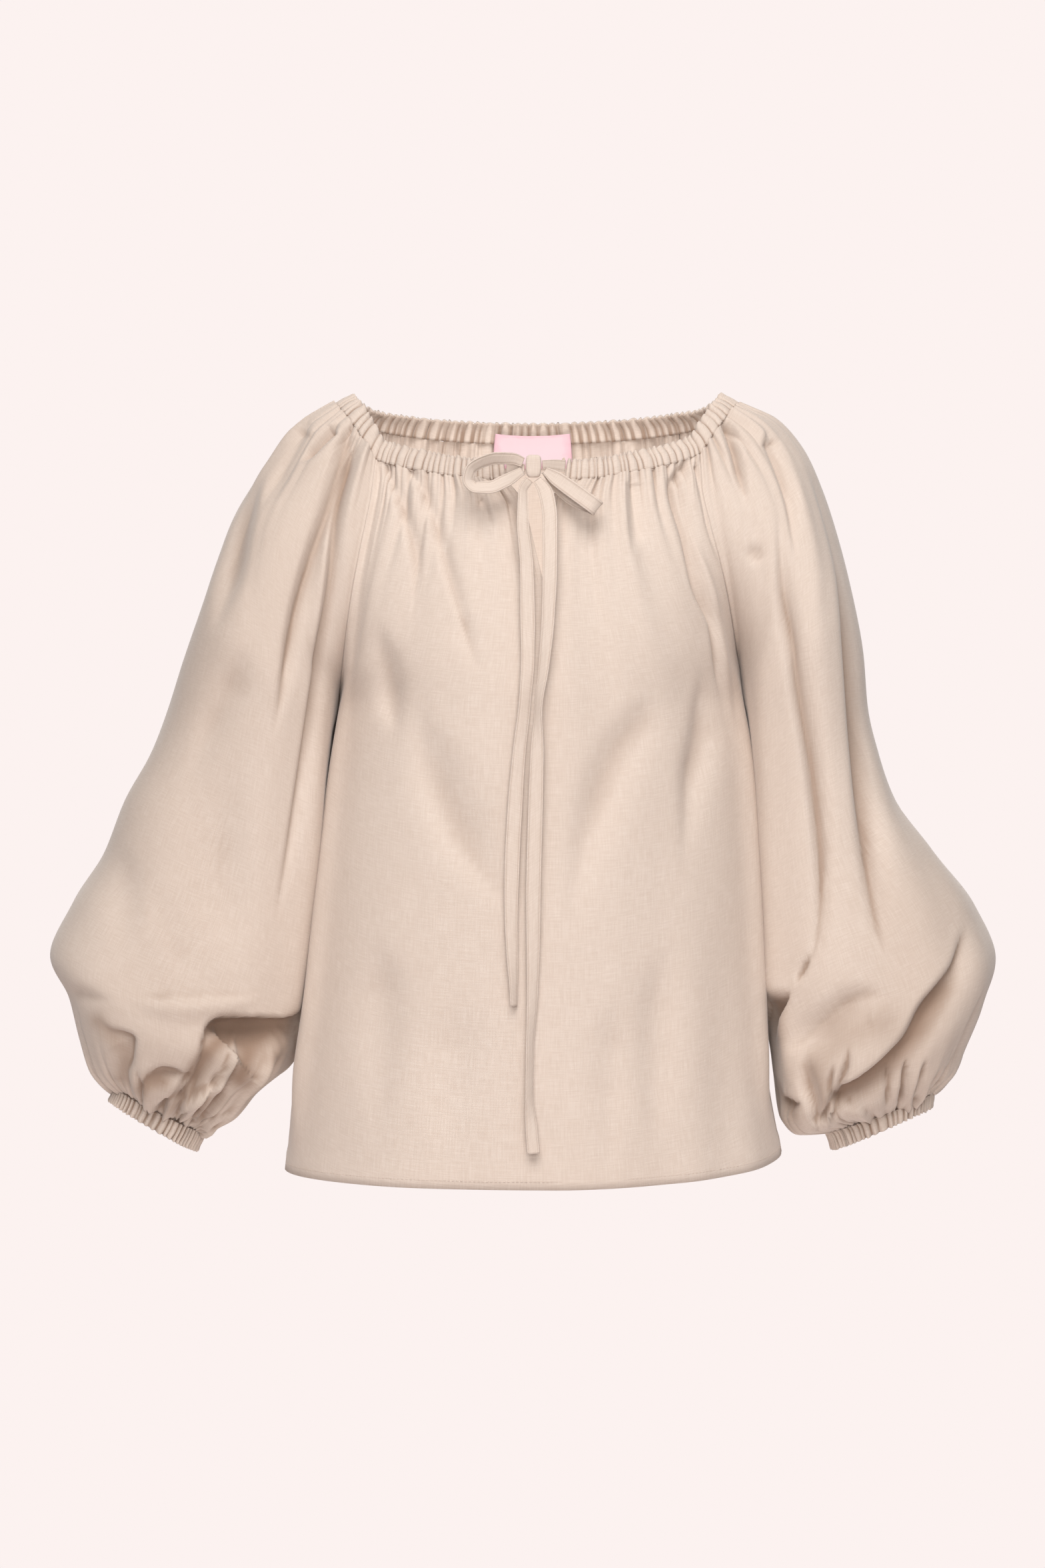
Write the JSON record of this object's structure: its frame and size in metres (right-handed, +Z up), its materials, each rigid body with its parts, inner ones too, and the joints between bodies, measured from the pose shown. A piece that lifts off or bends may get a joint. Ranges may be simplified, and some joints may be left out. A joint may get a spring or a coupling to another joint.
{
  "type": "peasant blouse",
  "caption": "Loose linen blouse with raglan balloon sleeves, all gathered into a neck casing that a flat tie closes in a bow above a short front slit, and elasticated cuffs.",
  "frame": {"origin": "between the wearer's shoulders, level with the top of the neck casing at the shoulder line and half way from front to back", "axes": "+X to the wearer's left (the viewer's right from the front), -Y the way the front faces, +Z up"},
  "size_m": [0.7345, 0.2677, 0.6069],
  "materials": {
    "linen": "matte plain-woven beige linen",
    "label": "smooth woven tape, pale pink"
  },
  "bodies": {
    "root": {"front_panel": "linen", "back_panel": "linen", "sleeve_right": "linen", "sleeve_left": "linen", "neck_casing": "linen", "cuff_right": "linen", "cuff_left": "linen", "bow_knot": "linen", "bow_loop_right": "linen", "bow_loop_left": "linen", "tie_lead_right": "linen", "tie_lead_left": "linen", "tie_tail_right": "linen", "tie_tail_left": "linen", "neck_label": "label"}
  },
  "joints": []
}
